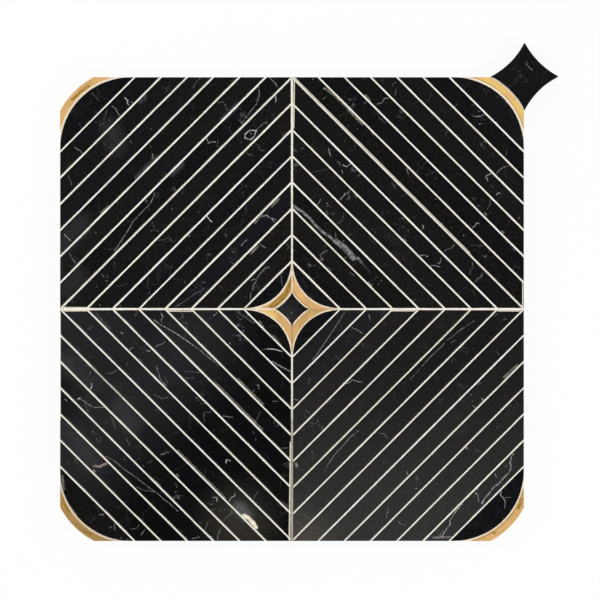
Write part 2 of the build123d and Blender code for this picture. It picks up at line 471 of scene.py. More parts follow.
        ],
        # Painted reflection: the polished face lighter towards the foot of this quarter
        "right_painted_reflection": [
            [(295, 560), (530, 575)],
        ],
        # Painted reflection: a warm, lighter patch of the polished face at the sheet's foot
        "foot_painted_reflection": [
            [(299, 540), (300, 541)],
        ],
        "tan": [
            [(296.1, 463.7), (296.9, 466)],
        ],
        "film": [
            [(392, 310.8), (415, 310.8)],
            [(498, 310.9), (520, 310.9)],
        ],
    },
    "ends": {
        "bright": [
            [(501.8, 488.9), (500.3, 495), (504.1, 498.9), (505.3, 501.9)],
            [(527, 61), (526, 64), (532, 70)],
        ],
        "plain": [
            [(505.3, 501.9), (504.9, 508)],
            [(114.3, 524.1), (114.7, 530.2)],
            [(99.8, 514.9), (103.6, 514.5)],
            [(109.7, 527.6), (112, 526.4)],
            [(95.7, 111.8), (96.3, 112.2)],
        ],
        "faint": [
            [(504.1, 497.7), (511, 497.3)],
            [(280.9, 275.7), (281.7, 281), (282.5, 285.6)],
            [(92, 93), (99, 101)],
            [(79.7, 123.8), (80.3, 124.2)],
            [(290.2, 312.2), (292.5, 313.5)],
            [(287.6, 316.6), (289.4, 319.7)],
        ],
        "trace": [
            [(519.5, 77), (521.5, 74.5)],
            [(536.5, 78.5), (537, 78.8)],
            [(497, 96), (498, 97)],
        ],
        "residue": [
            [(259.5, 321.5), (263.5, 328)],
            [(273.5, 336), (280.5, 345)],
            [(62.2, 476), (64, 489)],
            [(70.2, 507), (76, 515)],
        ],
        "cloud": [
            [(284, 308), (291, 316)],
        ],
    },
}

# Kinds of mark: half width, the half width of its solid core, strength, how much of that its fraying takes,
# how far the line strays, and how long its bends are. Lengths are in millimetres.
MARK_KINDS = {
    "broad_band": (2.4, 0.60, 0.42, 0.7, 1.6, 2.0),
    "band": (1.15, 0.29, 0.40, 0.7, 0.8, 1.7),
    "vein": (0.62, 0.16, 0.51, 0.7, 0.8, 1.7),
    "white": (0.40, 0.10, 0.95, 0.7, 0.7, 0.9),
    "bright": (0.40, 0.10, 0.52, 0.7, 0.7, 0.9),
    "plain": (0.38, 0.10, 0.34, 0.7, 0.6, 0.9),
    "faint": (0.38, 0.10, 0.17, 0.7, 0.6, 0.9),
    "trace": (0.38, 0.10, 0.07, 0.7, 0.6, 0.9),
    "cloud": (11.0, 0.0, 0.058, 0.35, 7.0, 9.0),
    # Glow is a painted reflection, the soft halo round a lamp's reflection
    "glow": (7.0, 0.0, 0.24, 0.3, 3.0, 4.0),
    "gleam": (2.8, 0.70, 0.13, 0.7, 1.0, 6.0),
    # Painted reflections, added to the stone's ground
    "left_painted_reflection": (55.0, 0.0, 1.0, 0.0, 20.0, 60.0),
    "right_painted_reflection": (150.0, 0.0, 1.0, 0.0, 25.0, 70.0),
    "foot_painted_reflection": (34.0, 0.0, 1.0, 0.0, 8.0, 30.0),
    "residue": (1.1, 0.20, 0.22, 0.6, 0.4, 3.0),
    "chipped_edge": (1.0, 0.25, 0.30, 0.8, 1.6, 1.0),
    "tan": (1.2, 0.30, 0.48, 0.7, 1.2, 1.7),
    # Fill is a painted reflection, the bright warm spot of a lamp's reflection
    "fill": (1.8, 0.60, 1.0, 0.22, 1.6, 1.5),
    "film": (0.55, 0.14, 1.0, 0.2, 0.2, 2.0),
    "seam": (0.48, 0.12, 0.9, 0.3, 0.2, 2.0),
    "smear": (0.75, 0.19, 0.40, 0.3, 0.3, 3.0),
}

# Kinds of mark that are painted reflections lightening the polished face, that veil the stone, and that lie
# on top of it as a stain
PAINTED_REFLECTIONS = ("left_painted_reflection", "right_painted_reflection", "foot_painted_reflection")
# Glow among these is a painted reflection of a lamp
VEILED = ("cloud", "glow", "gleam")
# Fill among these is a painted reflection of a lamp, not a mended hole
STAINED = ("chipped_edge", "residue", "tan", "fill", "film", "seam", "smear")

# Each quarter's marble, and that of the rounded stones and the stars: which pattern it gets, how much of the
# ground's own mottling shows, what brightens it throughout, which on the lower right is a painted reflection,
# and how much filler stayed on the face along the outer and the inner edge of its strips; the heavier side
# also paints the lit shoulder of each joint as a highlight
QUARTER_STONE = {
    "ne": {"seed": 1.5, "share": 1.0, "lift": (0, 0, 0), "film": (0.04, 0.10)},
    "nw": {"seed": 2.5, "share": 1.0, "lift": (0, 0, 0), "film": (0.05, 0.22)},
    "sw": {"seed": 3.5, "share": 0.45, "lift": (0, 0, 0), "film": (0.28, 0.05)},
    # The lower right's lift is a painted reflection that lightens its polished face throughout
    "se": {"seed": 4.5, "share": 1.0, "lift": (0.0042, 0.0038, 0.0034), "film": (0.15, 0.03)},
}
END_STONE = {"seed": 7.5, "share": 1.0, "lift": (0, 0, 0)}

# Brass, by quarter where it differs: its tone and its darkening throughout, which paint light and shade on it
# by how it catches the light. Scored is where its scratched line runs, as a share of the width. The dark
# spots, painted shade, and the bright ones, painted glints, are pixels of the photograph. Films are how far
# the filler reaches over its edges, and over its ends on the left and at the top, in millimetres.
BOWS = {
    # Painted light and shade: each quarter's tone and darkening
    "tones": {"ne": 0.97, "nw": 0.92, "sw": 0.92, "se": 0.86},
    "painted_shade_dulls": {"ne": 0.0, "nw": 0.0, "sw": 0.0, "se": 0.05},
    "scored": 0.90,
    # Painted shade: where the bows reflect dark, laid on in the tarnish colour
    "painted_shade_lines": [[(272, 306.5), (279, 301), (285.5, 295), (289.3, 287), (291, 277)]],
    "painted_shade_reach": 2.5,
    "glints": [[(264, 311.5), (269, 313), (274, 316)]],
    "films": {
        "inner": {"ne": 0.2, "nw": 0.4, "sw": 0.2, "se": 0.2},
        "outer": {"ne": 0.1, "nw": 0.4, "sw": 0.1, "se": 0.3},
        "left": 0.65,
        "top": 0.5,
    },
}
CRESCENTS = {
    # Painted light and shade: each quarter's tone and darkening
    "tones": {"ne": 1.12, "nw": 0.92, "sw": 0.66, "se": 0.84},
    "painted_shade_dulls": {"ne": 0.0, "nw": 0.0, "sw": 0.32, "se": 0.0},
    "scored": 0.15,
    # Painted shade: where the crescents reflect dark, laid on in the tarnish colour
    "painted_shade_lines": [
        [(72.5, 99.5), (80, 92.5), (88.5, 86.5)],
        [(62.5, 495), (64.5, 503), (69, 511)],
        [(84, 530.5), (91, 534.5)],
        [(521, 499), (518.6, 508)],
        [(493.7, 532.3), (494.3, 532.7)],
    ],
    "painted_shade_reach": 1.3,
    "glints": [[(484, 79.5), (494, 84), (504, 91)], [(515, 103), (521, 112)]],
    "films": {
        "inner": {"ne": 0.5, "nw": 0.55, "sw": 0.35, "se": 0.2},
        "outer": {"ne": 0.3, "nw": 0.1, "sw": 0.25, "se": -0.2},
        "left": 0.0,
        "top": 0.0,
    },
}

# Filler: a stretch of joint that dried grey, as pixels of the photograph, and how much brass it took up
GREY_JOINT = [[(94, 368), (121, 395)]]
STAR_TINTS = {"ne": 0.35, "nw": 0.2, "sw": 0.2, "se": 0.35}
CORNER_TINTS = {"ne": 0.1, "nw": 0.2, "sw": 0.15, "se": 0.25}

# Where the filler changes, in millimetres, each from where that starts to where it is full. The first four
# are values of |x| + |y|, IN_DIAGONAL is how far that is from its value on the long diagonals, DOWN_LOWER_ARM
# is a value of y, and the rest are distances from a joint's middle.
NEAR_STAR = (30.4, 29.6)
NEAR_CORNER = (254.0, 257.0)
NEAR_CORNER_STAR = (277.0, 279.0)
BETWEEN_BOWS = (28.0, 24.0)
IN_DIAGONAL = (2.4, 1.6)
DOWN_LOWER_ARM = (-40.0, -95.0)
IN_ARM = (1.2, 0.8)
OFF_ARM = (0.9, 1.8)
IN_BOW_GAP = (0.6, 0.3)
IN_GREY_JOINT = (3.0, 1.5)
IN_STRIP_JOINT = 0.09  # as a share of the pitch

# Beads: how far they climb the bevels on the outer and the inner side of a joint and elsewhere, as shares of
# the bevel, how that varies, and the arcs that they follow, in degrees about the arc's centre
SPREADS = {"ne": (0.8, 0.1), "nw": (0.55, 0.55), "sw": (0.15, -0.4), "se": (-0.1, -0.1)}
SPREAD_CHANCE = 0.2
STONE_SPREAD = 0.4
STAR_SPREAD = 0.5
ARM_SPREAD = -0.15
UPPER_DIAGONAL_SPREAD = (1.0, 1.0)
CLIMB_LIMITS = (0.05, 0.97)
CLIMB_SWAY = 0.55
DIP_SWAY = 0.6
STAR_STONE_ARC = (186, 264)
STAR_SIDE_ARC = (215, 235)
CORNER_STONE_ARC = (9, 81)
CORNER_STAR_ARC = (30, 60)

# Beads, in millimetres: how far they sink into the stone and reach into the filler, how wide they are there
# as a share of the joint, how far they stay clear of the arms and run past the sheet's edge before they are
# cut there, their pace, how deep they lie beside the brass, and their waves' lengths
BEAD_SEED = 11
BEAD_POINTS = 5
BEAD_SUNK = 0.02
BEAD_ROOT = 0.1
ROOT_SHARE = 0.9
CLEAR_OF_AXIS = 0.2
PAST_EDGE = 1.5
BEAD_PACE = 1.2
FLUSH_DEPTH = 0.06
FLUSH_SWAY = 0.04
CLIMB_WAVES = (61.0, 23.0, 9.0, 4.1)
FLUSH_WAVES = (31.0, 12.0)
DIP_WAVES = (47.0, 17.0, 6.0)

# How far apart the strips' patterns are taken from the stone, in millimetres
FAR_APART = 300.0

# Threads: their section, as shares of the width and the thickness, how far they sway up and down and how
# thick they are, as shares of the net's thickness, and the scale of their map
THREAD_SECTION = ((-0.5, 0.0), (-0.3, 0.5), (0.3, 0.5), (0.5, 0.0), (0.3, -0.5), (-0.3, -0.5))
THREAD_SWAY = 0.20
THREAD_THICKNESS = 0.36
MAP_SCALE = 10 * MM

# Stage: where the soft lamps hang, in metres, where the walls end and the ceiling starts, as the upward part
# of a direction, the floor's two tones, how much plain white the eye sees in it, and the camera's sensor, in
# millimetres
LAMPS = {"lamp_left": (-0.95, 0.35, 0.80), "lamp_right": (0.90, -0.45, 0.80)}
CEILING_EDGE = (0.86, 0.97)
FLOOR_TONES = ((0.90, 0.90, 0.90), (0.94, 0.94, 0.94))
FLOOR_WHITE = 0.92
WHITE = (1.0, 1.0, 1.0, 1.0)
SENSOR_WIDTH = 36.0


def from_photo(column, row):
    """Millimetres on the sheet for a pixel of the photograph."""
    return (column - PHOTO_MIDDLE[0]) / PIXELS_PER_MM, (PHOTO_MIDDLE[1] - row) / PIXELS_PER_MM


def length_setting(name, description, size):
    """A setting for a length, whose default is given in millimetres."""
    return FloatProperty(name=name, description=description, default=size * MM, unit="LENGTH")


def share_setting(name, description, value):
    """A setting from 0 to 1."""
    return FloatProperty(name=name, description=description, default=value, min=0, max=1, subtype="FACTOR")


def colour_setting(name, description, value):
    """A setting for a colour."""
    return FloatVectorProperty(
        name=name, description=description, default=value, min=0, max=1, subtype="COLOR"
    )


class SheetLayout(PropertyGroup):
    """Sizes of the joints and arcs that the packed sheet has."""

    strip_joint: length_setting("Strip joint", "Filled gap between two strips", 0.9)
    quarter_joint: length_setting("Quarter joint", "Filled gap between two quarters", 1.2)
    brass_joint: length_setting("Brass joint", "Filled gap beside the brass", 0.7)
    bow_joint: length_setting("Bow joint", "Filled gap between two bows", 0.4)
    edge_arris: length_setting("Arris", "Bevel round the face of each stone", 0.2)
    star_radius: length_setting("Star radius", "Rounding beside the middle star", 29.6)
    star_land: length_setting("Star land", "Edge between that rounding and the last joint", 0.4)
    star_brass_width: length_setting("Star brass", "Width of the bows round the star", 5.1)
    corner_radius: length_setting("Corner radius", "Rounding at the sheet's corner", 45.5)
    corner_land: length_setting("Corner land", "Edge between that rounding and the last joint", 2.7)
    corner_brass_width: length_setting("Corner brass", "Width of the crescents", 5.2)


class StageSettings(PropertyGroup):
    """Camera, lamps and floor."""

    camera_height: length_setting("Camera height", "Lens above the polished face", 1400)
    lamp_power: FloatProperty(
        name="Lamp power", description="Power of each soft lamp", default=5.0, unit="POWER"
    )
    lamp_side: length_setting("Lamp side", "Side of each soft lamp", 500)
    room_light: share_setting("Room light", "Brightness of the room's walls", 0.80)
    ceiling_light: share_setting("Ceiling light", "Brightness of the dark ceiling over the sheet", 0.03)
    floor_side: length_setting("Floor side", "Side of the floor", 12000)
    floor_drop: length_setting("Floor drop", "How far the floor lies below the net", 0.1)


class MarbleFinish(PropertyGroup):
    """Polished black marble."""

    cool_ground: colour_setting("Cool ground", "Stone where it leans to blue", (0.0060, 0.0065, 0.0078))
    warm_ground: colour_setting("Warm ground", "Stone where it leans to brown", (0.0075, 0.0069, 0.0062))
    vein: colour_setting("Vein", "Calcite in the cracks", (0.66, 0.66, 0.68))
    veil: colour_setting("Veil", "Grey bloom in the stone", (0.33, 0.33, 0.35))
    sawn: colour_setting("Sawn sides", "Matt stone where the jet and the saw cut it", (0.055, 0.056, 0.060))
    # These three are painted reflections, not a dulled polish: they lighten the polished face on the lower
    # left, on the lower right and at the sheet's foot
    left_painted_reflection: colour_setting("Haze", "Dulled polish on the lower left quarter", (0.0130, 0.0137, 0.0144))
    right_painted_reflection: colour_setting("Sheen", "Dulled polish on the lower right quarter", (0.0226, 0.0216, 0.0202))
    foot_painted_reflection: colour_setting("Warm glow", "Dulled polish at the sheet's foot", (0.0265, 0.0230, 0.0185))
    tan: colour_setting("Tan", "Iron stain", (0.55, 0.45, 0.37))
    # Fill is a painted reflection of a lamp, not a mended hole: a bright warm spot at the sheet's foot
    fill: colour_setting("Fill", "Mended hole", (0.98, 0.87, 0.68))
    wiped: colour_setting("Wiped filler", "Filler left on the face", (0.82, 0.77, 0.64))
    polish: share_setting("Polish", "Roughness of the polished face", 0.10)


class BrassFinish(PropertyGroup):
    """Ground brass."""

    bright: colour_setting("Bright", "Freshly ground brass", (0.885, 0.572, 0.245))
    glint: colour_setting("Glint", "Yellow where it catches the light", (1.0, 0.74, 0.25))
    # Also the colour of the painted shade on the brass, where it reflects dark
    tarnish_and_shade: colour_setting("Tarnish", "Darkened brass", (0.39, 0.225, 0.035))
    wiped: colour_setting("Wiped filler", "Filler left on the brass", (0.88, 0.80, 0.62))
    satin: share_setting("Satin", "Roughness of the ground face", 0.62)


class FillerFinish(PropertyGroup):
    """Cream cement filler."""

    cream: colour_setting("Cream", "Clean filler", (0.93, 0.885, 0.755))
    chalk: colour_setting("Chalk", "Filler that dried whiter", (0.98, 0.96, 0.90))
    shade: colour_setting("Shade", "Filler that took up dust", (0.30, 0.265, 0.195))
    brass_dust: colour_setting("Brass dust", "Filler that took up brass", (0.72, 0.40, 0.14))
    grime: colour_setting("Grime", "Filler that took up polishing dirt", (0.10, 0.08, 0.05))
    meniscus: length_setting("Meniscus", "How far a joint dips in its middle", 0.12)


class NetFinish(PropertyGroup):
    """Woven glass net."""

    pitch: length_setting("Mesh", "Distance between two threads", 5.0)
    thread_width: length_setting("Thread width", "Width of a flattened thread", 1.1)
    glass: colour_setting("Glass", "Coated glass thread", (0.72, 0.74, 0.72))


class Wire:
    """One output of a node, which takes part in sums as a number does."""

    def __init__(self, nodes, socket):
        self.nodes = nodes
        self.socket = socket

    def __add__(self, other):
        return self.nodes.math("ADD", self, other)

    __radd__ = __add__

    def __sub__(self, other):
        return self.nodes.math("SUBTRACT", self, other)

    def __rsub__(self, other):
        return self.nodes.math("SUBTRACT", other, self)

    def __mul__(self, other):
        return self.nodes.math("MULTIPLY", self, other)

    __rmul__ = __mul__

    def __truediv__(self, other):
        return self.nodes.math("DIVIDE", self, other)

    def __rtruediv__(self, other):
        return self.nodes.math("DIVIDE", other, self)

    def __abs__(self):
        return self.nodes.math("ABSOLUTE", self)

    def __gt__(self, other):
        return self.nodes.math("GREATER_THAN", self, other)

    def __lt__(self, other):
        return self.nodes.math("LESS_THAN", self, other)


class Nodes:
    """The node tree of a material or world, filled one node after the other."""

    def __init__(self, owner):
        owner.use_nodes = True
        self.tree = owner.node_tree
        self.tree.nodes.clear()

    def add(self, kind, settings=None, inputs=None, output=0):
        """A node of a kind: its settings come first, then its sockets' values or links. Gives one output."""
        node = self.tree.nodes.new("ShaderNode" + kind)
        for name, value in (settings or {}).items():
            setattr(node, name, value)
        for socket, value in (inputs or {}).items():
            if isinstance(value, Wire):
                self.tree.links.new(value.socket, node.inputs[socket])
            else:
                node.inputs[socket].default_value = value
        return Wire(self, node.outputs[output]) if node.outputs else node

    def math(self, operation, *values):
        """A Math node on numbers or wires."""
        return self.add("Math", {"operation": operation}, dict(enumerate(values)))

    def held(self, value):
        """A number kept from 0 to 1."""
        return self.add("Clamp", None, {0: value, 1: 0.0, 2: 1.0})

    def vector(self, operation, *values, output=0):
        """A Vector Math node on triples or wires."""
        return self.add("VectorMath", {"operation": operation}, dict(enumerate(values)), output)

    def scaled(self, place, factor):
        """A vector times a number."""
        return self.add("VectorMath", {"operation": "SCALE"}, {0: place, "Scale": factor})

    def parts(self, place):
        """The three numbers of a vector."""
        split = self.add("SeparateXYZ", None, {0: place}).socket.node
        return [Wire(self, socket) for socket in split.outputs]

    def joined(self, x, y, z):
        """A vector of three numbers."""
        return self.add("CombineXYZ", None, {0: x, 1: y, 2: z})

    def mix(self, share, first, second):
        """A colour between two, by a share from 0 to 1."""
        colours = {"Factor": share, 6: with_alpha(first), 7: with_alpha(second)}
        return self.add("Mix", {"data_type": "RGBA"}, colours, 2)

    def rise(self, value, low, high):
        """0 below low and 1 above high, with a smooth step between them. High may be the smaller."""
        settings = {"interpolation_type": "SMOOTHSTEP"}
        return self.add("MapRange", settings, {0: value, 1: low, 2: high, 3: 0.0, 4: 1.0})

    def covered(self, depth):
        """1 where a depth is above nothing, with a soft edge, and 0 where it is below."""
        return self.rise(depth, -0.1, 0.1)

    def by_quarter(self, x, y, values):
        """One of four values, by the quarter of the sheet."""
        right, up = x > 0, y > 0
        upper = values["nw"] + (values["ne"] - values["nw"]) * right
        lower = values["sw"] + (values["se"] - values["sw"]) * right
        return upper * up + lower * (1 - up)

    def noise(self, place, size, detail=2.0, output=0):
        """Soft noise whose blots are about one size wide, as a number or a colour."""
        return self.add("TexNoise", None, {"Vector": place, "Scale": 1 / size, "Detail": detail}, output)

    def cracks(self, place, size):
        """Distance to the nearest border of irregular cells, in the place's own unit."""
        settings = {"feature": "DISTANCE_TO_EDGE"}
        return self.add("TexVoronoi", settings, {"Vector": place, "Scale": 1 / size}) * size

    def dots(self, place, size):
        """Distance to the nearest of scattered points, in the place's own unit."""
        return self.add("TexVoronoi", {"feature": "F1"}, {"Vector": place, "Scale": 1 / size}) * size

    def chance(self, place, output=0):
        """One random number, or colour, for each different place."""
        return self.add("TexWhiteNoise", None, {"Vector": place}, output)

    def shaken(self, place, size, reach):
        """A place moved by soft noise, up to about half the reach each way."""
        push = self.vector("SUBTRACT", self.noise(place, size, 2.0, 1), (0.5, 0.5, 0.5))
        return self.vector("ADD", place, self.scaled(push, reach))

    def on_object(self):
        """Place on the sheet in millimetres, and the direction that the surface faces."""
        place = self.add("TexCoord", None, None, "Object")
        facing = self.add("TexCoord", None, None, "Normal")
        return self.scaled(place, 1 / MM), facing

    def line_gap(self, place, start, end):
        """Distance to a straight line: to the point that lies a clamped share of the way along it."""
        run = np.subtract(end, start)
        along = run / (run @ run)
        from_start = self.vector("SUBTRACT", place, (*start, 0.0))
        share = self.held(self.vector("DOT_PRODUCT", from_start, (*along, 0.0), output=1))
        nearest = self.scaled((*run, 0.0), share)
        return self.vector("DISTANCE", from_start, nearest, output=1)

    def lines_gap(self, place, lines):
        """Distance to the nearest of several broken lines."""
        gap = None
        for line in lines:
            points = [from_photo(*pixel) for pixel in line]
            for start, end in zip(points, points[1:]):
                near = self.line_gap(place, start, end)
                gap = near if gap is None else self.math("MINIMUM", gap, near)
        return gap

    def surface(self, shader):
        """The tree's result."""
        self.add("OutputMaterial", None, {"Surface": shader})

    def finished(self, colour, roughness, normal, more=None):
        """A surface of this colour, roughness and relief as the tree's result."""
        looks = {"Base Color": colour, "Roughness": roughness, "Normal": normal, **(more or {})}
        self.surface(self.add("BsdfPrincipled", None, looks))


def with_alpha(colour):
    """A colour's three numbers with a full fourth one. Wires pass as they are."""
    return colour if isinstance(colour, Wire) else (*colour, 1.0)


def new_finish(name):
    """A new material and the nodes to fill."""
    material = bpy.data.materials.new(name)
    return material, Nodes(material)


def layout_in_mm(context):
    """The layout's sizes in millimetres, and what follows from them."""
    layout = context.scene.mosaic_layout
    sizes = {name: getattr(layout, name) / MM for name in SheetLayout.__annotations__}
    sizes["inner_joint"] = sizes["quarter_joint"] + sizes["star_radius"] + sizes["star_land"]
    sizes["outer_joint"] = 2 * HALF_SIDE - sizes["corner_radius"] - sizes["corner_land"]
    sizes["inner_pitch"] = (HALF_SIDE - sizes["inner_joint"]) / INNER_STRIPS
    sizes["outer_pitch"] = (sizes["outer_joint"] - HALF_SIDE) / OUTER_STRIPS
    sizes["star_centre"] = sizes["quarter_joint"] / 2 + sizes["star_radius"]
    sizes["corner_centre"] = HALF_SIDE - sizes["corner_radius"]
    return sizes


def strip_edges(nodes, x, y, sizes):
    """A strip's number, and how far a place on it lies from the joints at its inner and outer edges.

    |x| + |y| is constant along a joint, and grows by one pitch from each joint to the next.
    """
    pitch = sizes["inner_pitch"]
    half_joint = sizes["strip_joint"] / 2
    count = (abs(x) + abs(y) - sizes["inner_joint"]) / pitch
    strip = nodes.math("FLOOR", count)
    across = (count - strip) * (pitch / sqrt(2))
    return strip, across - half_joint, pitch / sqrt(2) - half_joint - across


def fine_veins(nodes, stone):
    """The stone's own hairlines, short cracks and specks, which come in clusters, as a share of calcite."""
    shaken = nodes.shaken(nodes.shaken(stone, 9.0, 8.0), 1.6, 1.3)
    cluster = nodes.noise(stone, 15.0, 1.0)
    hairs = nodes.rise(nodes.cracks(shaken, 21.0), 0.34, 0.05)
    hairs = hairs * nodes.rise(nodes.noise(stone, 8.0, 1.0), 0.50, 0.66) * 0.035
    short = nodes.rise(nodes.cracks(nodes.shaken(shaken, 2.4, 2.6), 6.5), 0.42, 0.10)
    short = short * nodes.rise(cluster, 0.665, 0.715)
    short = short * nodes.rise(nodes.noise(stone, 2.6, 1.0), 0.44, 0.58) * 0.12
    specks = nodes.rise(nodes.dots(shaken, 2.6), 0.42, 0.14) * nodes.rise(cluster, 0.60, 0.72) * 0.07
    return nodes.math("MAXIMUM", nodes.math("MAXIMUM", hairs, short), specks)


def marked_stone(nodes, look, place, marks, ground, veil, pale):
    """The stone's colour with the marks that the photograph shows, and its share of calcite.

    A mark is full within its core and fades to nothing at its half width. Fraying breaks it up.
    """
    x, y, _ = nodes.parts(place)
    flat = nodes.joined(x, y, 0.0)
    frayed = nodes.rise(nodes.noise(place, 1.8, 4.0), 0.60, 0.36)
    stains = []
    for kind, lines in marks.items():
        half_width, core, strength, fray, stray, bend = MARK_KINDS[kind]
        gap = nodes.lines_gap(nodes.shaken(flat, bend, stray), lines)
        mark = nodes.rise(gap, half_width, core) * (strength - strength * fray * frayed)
        # Painted reflections lighten the ground itself
        if kind in PAINTED_REFLECTIONS:
            ground = nodes.vector("ADD", ground, nodes.scaled(getattr(look, kind), mark))
        elif kind in VEILED:
            veil = veil + mark
        elif kind in STAINED:
            stains.append((mark, getattr(look, kind, look.wiped)))
        else:
            pale = nodes.math("MAXIMUM", pale, mark)
    colour = nodes.mix(nodes.held(veil), ground, look.veil)
    colour = nodes.mix(nodes.held(pale), colour, look.vein)
    for mark, stain in stains:
        colour = nodes.mix(nodes.held(mark), colour, stain)
    return colour, pale


def jet_lines(nodes, place):
    """The upright lines that the water jet leaves on a cut: noise that is drawn out along z."""
    return nodes.noise(nodes.vector("MULTIPLY", place, (1.0, 1.0, 0.06)), 0.8, 3.0)


def marble(name, look, sizes, marks, seed, share, lift, film=None):
    """Polished black marble: bloom, hairline cracks, specks and the marks that the photograph shows.

    A strip's number shifts the stone's own pattern, so that no vein runs on across a joint unless it is
    one of the marks. Stones without a film are the rounded ones and the stars, which have no number.
    """
    material, nodes = new_finish(name)
    place, facing = nodes.on_object()
    x, y, _ = nodes.parts(place)
    upward = nodes.parts(facing)[2]
    if film:
        strip, behind, ahead = strip_edges(nodes, x, y, sizes)
        key = nodes.joined(strip, seed, 0.5)
    else:
        key = nodes.joined(nodes.math("SIGN", x), nodes.math("SIGN", y), seed)
    lot = nodes.chance(key, 1)
    stone = nodes.vector("ADD", place, nodes.scaled(lot, FAR_APART))

    # Ground: each strip has its own depth of black, clouded and mottled, and darker along its edges as
    # painted shade beside the joints
    own_tone, own_lean, _ = nodes.parts(lot)
    bloom = nodes.noise(stone, 34.0, 4.0)
    blotch = nodes.noise(stone, 5.0, 4.0)
    lean = nodes.rise(bloom * 0.6 + blotch * 0.6 + own_lean * 0.4, 0.55, 1.05)
    ground = nodes.mix(lean, look.cool_ground, look.warm_ground)
    mottle = nodes.noise(stone, 1.5, 3.0)
    depth = 0.40 + own_tone * 0.6 + nodes.rise(mottle, 0.28, 0.72) * 0.9
    if film:
        # Painted shade: the stone darkens towards the joints on either side
        depth = depth * (0.6 + 0.4 * nodes.rise(nodes.math("MINIMUM", behind, ahead), 0.1, 2.4))
    # Where a quarter has a lift, it is a painted reflection
    ground = nodes.vector("ADD", nodes.scaled(ground, depth * share), lift)
    veil = nodes.rise(bloom, 0.56, 0.80) * nodes.rise(blotch, 0.40, 0.75) * 0.035
    colour, pale = marked_stone(nodes, look, place, marks, ground, veil, fine_veins(nodes, stone))

    # Filler that was wiped over the face and stayed on one side of the joints more than on the other. That
    # side faces up the sheet, and there the film also paints the lit shoulder of the joint as a highlight
    residue = 0.0
    if film:
        patchy = nodes.rise(nodes.noise(stone, 17.0, 3.0), 0.36, 0.66)
        ragged = nodes.noise(place, 1.3, 2.0) * 0.8
        outer = nodes.rise(ahead + ragged, 1.15, 0.65) * film[0]
        inner = nodes.rise(behind + ragged, 1.15, 0.65) * film[1]
        residue = (outer + inner) * patchy
        colour = nodes.mix(residue, colour, look.wiped)

    # Sides as the jet left them, and the sawn back
    side = nodes.rise(upward, 0.62, 0.45)
    arris = nodes.rise(upward, 0.97, 0.80)
    jet = jet_lines(nodes, place)
    pale_sawn = [2.2 * part for part in look.sawn]
    sawn = nodes.scaled(nodes.mix(jet, look.sawn, pale_sawn), 0.55 + mottle * 0.9)
    sawn = nodes.mix(pale, sawn, look.vein)
    colour = nodes.mix(side, nodes.mix(arris * 0.12, colour, look.sawn), sawn)
    roughness = look.polish + 0.05 * bloom + 0.10 * pale + 0.25 * residue + 0.12 * arris
    roughness = nodes.held(roughness + side * (0.45 + 0.15 * jet))
    height = side * jet + 0.02 * nodes.noise(place, 6.0, 1.0)
    normal = nodes.add("Bump", None, {"Strength": 0.35, "Distance": 0.2 * MM, "Height": height})
    nodes.finished(colour, roughness, normal, {"IOR": 1.5})
    return material


